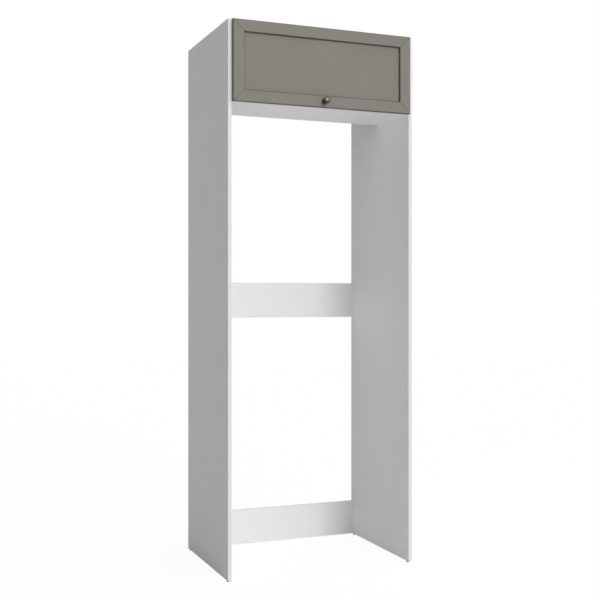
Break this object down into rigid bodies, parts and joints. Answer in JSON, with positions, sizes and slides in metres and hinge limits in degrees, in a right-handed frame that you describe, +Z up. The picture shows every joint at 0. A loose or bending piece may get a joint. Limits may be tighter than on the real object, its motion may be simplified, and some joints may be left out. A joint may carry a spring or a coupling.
{
  "type": "over-fridge cabinet",
  "caption": "Tall open kitchen unit for a refrigerator: two side panels, rear rails and a shallow top cupboard with a framed lift-up flap and knob.",
  "frame": {"origin": "on the floor, centred between the sides and midway between the knob's face and the rear edges", "axes": "+X to the right seen from the front, +Y to the rear, +Z up; the flap and knob face -Y"},
  "size_m": [0.81, 0.618, 2.206],
  "materials": {
    "white_board": "satin white melamine on chipboard",
    "white_edge_band": "satin white edge band",
    "white_back_sheet": "painted hardboard",
    "taupe_foil": "matt warm-grey foil on fibreboard",
    "beech": "bare wood",
    "dark_bronze": "satin dark bronze plating",
    "brown_plastic": "moulded dark brown plastic",
    "grey_plastic": "moulded light grey plastic",
    "clear_rubber": "soft clear bumper",
    "friction_lining": "friction lining",
    "zinc_steel": "zinc plated"
  },
  "bodies": {
    "carcass": {"back_nails": "zinc_steel", "cam_bolts": "zinc_steel", "cam_housings": "zinc_steel", "door_bumpers": "clear_rubber", "foot_glide_nails": "zinc_steel", "foot_glides": "brown_plastic", "hinge_arm_left": "zinc_steel", "hinge_arm_right": "zinc_steel", "hinge_arm_screws": "zinc_steel", "hinge_plate_left": "zinc_steel", "hinge_plate_right": "zinc_steel", "hinge_plate_screws": "zinc_steel", "module_back": "white_back_sheet", "module_bottom": "white_board", "module_connectors": "zinc_steel", "module_edge_bands": "white_edge_band", "module_fixing_screws": "zinc_steel", "module_side_left": "white_board", "module_side_right": "white_board", "module_top": "white_board", "panel_edge_band_left": "white_edge_band", "panel_edge_band_right": "white_edge_band", "rail_bottom": "white_board", "rail_dowels": "beech", "rail_edge_bands": "white_edge_band", "rail_middle": "white_board", "side_panel_left": "white_board", "side_panel_right": "white_board", "stay_base_left": "zinc_steel", "stay_base_right": "zinc_steel", "stay_case_screws": "zinc_steel", "stay_cover_left": "grey_plastic", "stay_cover_right": "grey_plastic", "stay_disc_springs": "zinc_steel", "stay_friction_pads": "friction_lining"},
    "flap": {"door_rail_top": "taupe_foil", "door_rail_bottom": "taupe_foil", "door_stile_left": "taupe_foil", "door_stile_right": "taupe_foil", "door_panel": "taupe_foil", "mitre_splines": "beech", "knob": "dark_bronze", "knob_screw": "zinc_steel", "hinge_cup_left": "zinc_steel", "hinge_cup_right": "zinc_steel", "hinge_pins": "zinc_steel", "hinge_cup_screws": "zinc_steel", "stay_bracket_left": "zinc_steel", "stay_bracket_right": "zinc_steel", "stay_bracket_pins": "zinc_steel", "stay_bracket_screws": "zinc_steel"},
    "stay_lever_left": {"stay_lever_left": "zinc_steel", "stay_lever_rivet_left": "zinc_steel", "stay_pin_left": "zinc_steel"},
    "stay_link_left": {"stay_link_left": "zinc_steel"},
    "stay_lever_right": {"stay_lever_right": "zinc_steel", "stay_lever_rivet_right": "zinc_steel", "stay_pin_right": "zinc_steel"},
    "stay_link_right": {"stay_link_right": "zinc_steel"}
  },
  "joints": [
    {"name": "flap_hinge", "type": "hinge", "parent": "carcass", "child": "flap", "pos_m": [0, -0.2724, 2.19755], "axis": [-1, 0, 0], "range_deg": [0, 90]},
    {"name": "stay_lever_left_pivot", "type": "hinge", "parent": "carcass", "child": "stay_lever_left", "pos_m": [-0.3589, -0.1924, 2.16755], "axis": [-1, 0, 0], "range_deg": [0, 90]},
    {"name": "stay_link_left_pivot", "type": "hinge", "parent": "stay_lever_left", "child": "stay_link_left", "pos_m": [-0.3589, -0.172, 2.06755], "axis": [-1, 0, 0], "range_deg": [-90, 0]},
    {"name": "stay_lever_right_pivot", "type": "hinge", "parent": "carcass", "child": "stay_lever_right", "pos_m": [0.3589, -0.1924, 2.16755], "axis": [-1, 0, 0], "range_deg": [0, 90]},
    {"name": "stay_link_right_pivot", "type": "hinge", "parent": "stay_lever_right", "child": "stay_link_right", "pos_m": [0.3589, -0.172, 2.06755], "axis": [-1, 0, 0], "range_deg": [-90, 0]}
  ],
  "couplings": [
    {"joint": "stay_lever_left_pivot", "follows": "flap_hinge", "ratio": 1},
    {"joint": "stay_link_left_pivot", "follows": "flap_hinge", "ratio": -1},
    {"joint": "stay_lever_right_pivot", "follows": "flap_hinge", "ratio": 1},
    {"joint": "stay_link_right_pivot", "follows": "flap_hinge", "ratio": -1}
  ]
}
